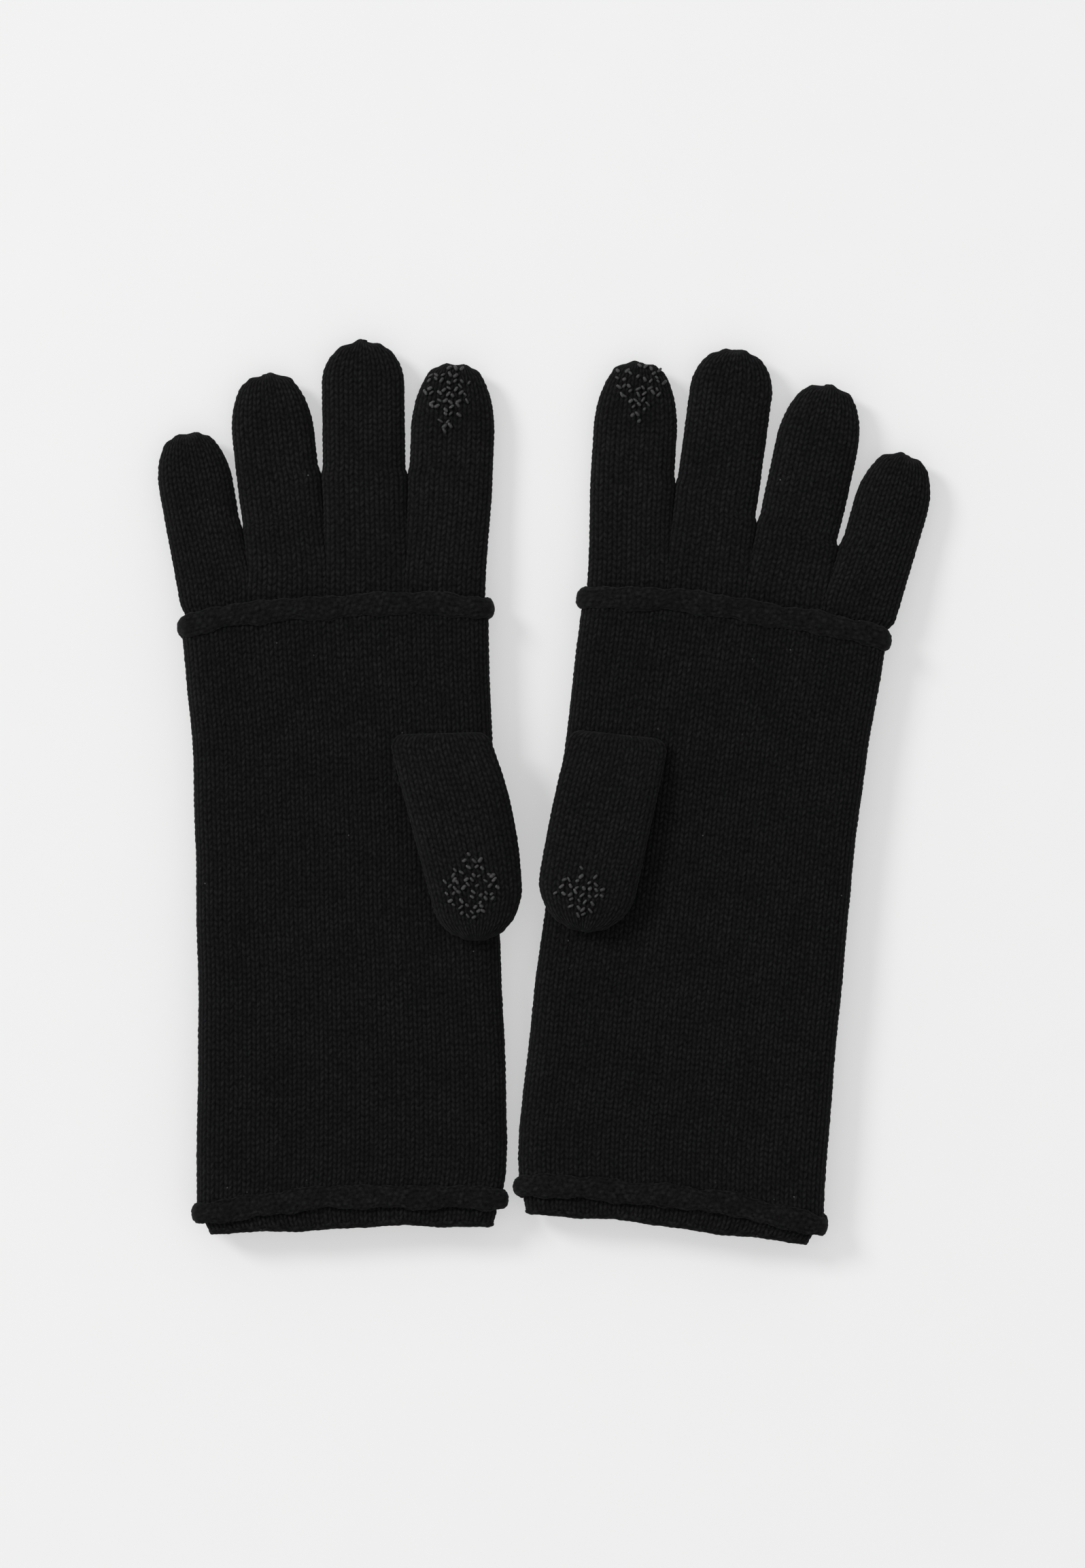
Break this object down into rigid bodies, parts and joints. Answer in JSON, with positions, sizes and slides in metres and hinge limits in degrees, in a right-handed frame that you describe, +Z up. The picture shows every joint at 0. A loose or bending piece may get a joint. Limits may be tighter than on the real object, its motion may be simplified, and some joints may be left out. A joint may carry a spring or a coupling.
{
  "type": "touchscreen gloves",
  "caption": "Pair of knitted touchscreen gloves lying palms up: inner five-finger gloves in long outer sleeves with rolled hems, thumbs folded out of slits.",
  "frame": {"origin": "on the table, under the middle of the pair's box", "axes": "+Y towards the fingertips, +X across the pair from the right-hand glove to the left-hand one, +Z up out of the palms"},
  "size_m": [0.2337, 0.272, 0.0195],
  "materials": {
    "hand_knit": "matte",
    "sleeve_knit": "matte",
    "rolled_hem": "matte",
    "gathered_yarn": "matte",
    "conductive_yarn": "satin"
  },
  "bodies": {
    "right_hand": {"right_palm": "hand_knit", "right_inner_cuff": "hand_knit", "right_cuff_edge": "hand_knit", "right_thumb_gusset": "hand_knit"},
    "right_index": {"right_index_finger": "hand_knit", "right_index_tip_gather": "gathered_yarn", "right_index_touch_pad": "conductive_yarn"},
    "right_middle": {"right_middle_finger": "hand_knit", "right_middle_tip_gather": "gathered_yarn"},
    "right_ring": {"right_ring_finger": "hand_knit", "right_ring_tip_gather": "gathered_yarn"},
    "right_little": {"right_little_finger": "hand_knit", "right_little_tip_gather": "gathered_yarn"},
    "right_thumb": {"right_thumb": "hand_knit", "right_thumb_tip_gather": "gathered_yarn", "right_thumb_touch_pad": "conductive_yarn"},
    "right_sleeve": {"right_outer_sleeve": "sleeve_knit", "right_top_hem": "rolled_hem", "right_bottom_hem": "rolled_hem", "right_thumb_slit_edge": "sleeve_knit"},
    "left_hand": {"left_palm": "hand_knit", "left_inner_cuff": "hand_knit", "left_cuff_edge": "hand_knit", "left_thumb_gusset": "hand_knit"},
    "left_index": {"left_index_finger": "hand_knit", "left_index_tip_gather": "gathered_yarn", "left_index_touch_pad": "conductive_yarn"},
    "left_middle": {"left_middle_finger": "hand_knit", "left_middle_tip_gather": "gathered_yarn"},
    "left_ring": {"left_ring_finger": "hand_knit", "left_ring_tip_gather": "gathered_yarn"},
    "left_little": {"left_little_finger": "hand_knit", "left_little_tip_gather": "gathered_yarn"},
    "left_thumb": {"left_thumb": "hand_knit", "left_thumb_tip_gather": "gathered_yarn", "left_thumb_touch_pad": "conductive_yarn"},
    "left_sleeve": {"left_outer_sleeve": "sleeve_knit", "left_top_hem": "rolled_hem", "left_bottom_hem": "rolled_hem", "left_thumb_slit_edge": "sleeve_knit"}
  },
  "joints": [
    {"name": "right_index_flex", "type": "hinge", "parent": "right_hand", "child": "right_index", "pos_m": [-0.02913, 0.06481, 0.01025], "axis": [0.9993, -0.0366, 0], "range_deg": [0, 60]},
    {"name": "right_middle_flex", "type": "hinge", "parent": "right_hand", "child": "right_middle", "pos_m": [-0.05322, 0.06418, 0.01025], "axis": [0.9998, 0.0209, 0], "range_deg": [0, 60]},
    {"name": "right_ring_flex", "type": "hinge", "parent": "right_hand", "child": "right_ring", "pos_m": [-0.07671, 0.06356, 0.01025], "axis": [0.9954, 0.0958, 0], "range_deg": [0, 60]},
    {"name": "right_little_flex", "type": "hinge", "parent": "right_hand", "child": "right_little", "pos_m": [-0.10031, 0.06294, 0.01025], "axis": [0.9874, 0.1582, 0], "range_deg": [0, 60]},
    {"name": "right_thumb_fold", "type": "hinge", "parent": "right_hand", "child": "right_thumb", "pos_m": [-0.03015, 0.00446, 0.01895], "axis": [-0.9997, -0.0262, 0], "range_deg": [0, 110]},
    {"name": "right_sleeve_slide", "type": "slide", "parent": "right_hand", "child": "right_sleeve", "axis": [-0.0262, 0.9997, 0], "range_m": [0, 0.003]},
    {"name": "left_index_flex", "type": "hinge", "parent": "left_hand", "child": "left_index", "pos_m": [0.02595, 0.06688, 0.01025], "axis": [0.9977, -0.068, 0], "range_deg": [0, 60]},
    {"name": "left_middle_flex", "type": "hinge", "parent": "left_hand", "child": "left_middle", "pos_m": [0.04991, 0.06424, 0.01025], "axis": [0.9921, -0.1253, 0], "range_deg": [0, 60]},
    {"name": "left_ring_flex", "type": "hinge", "parent": "left_hand", "child": "left_ring", "pos_m": [0.07327, 0.06166, 0.01025], "axis": [0.9799, -0.1994, 0], "range_deg": [0, 60]},
    {"name": "left_little_flex", "type": "hinge", "parent": "left_hand", "child": "left_little", "pos_m": [0.09673, 0.05907, 0.01025], "axis": [0.9655, -0.2605, 0], "range_deg": [0, 60]},
    {"name": "left_thumb_fold", "type": "hinge", "parent": "left_hand", "child": "left_thumb", "pos_m": [0.02192, 0.00666, 0.01895], "axis": [-0.994, 0.1097, 0], "range_deg": [0, 110]},
    {"name": "left_sleeve_slide", "type": "slide", "parent": "left_hand", "child": "left_sleeve", "axis": [0.1097, 0.994, 0], "range_m": [0, 0.003]},
    {"name": "pair_spread", "type": "slide", "parent": "right_hand", "child": "left_hand", "axis": [1, 0, 0], "range_m": [0, 0.1]}
  ]
}
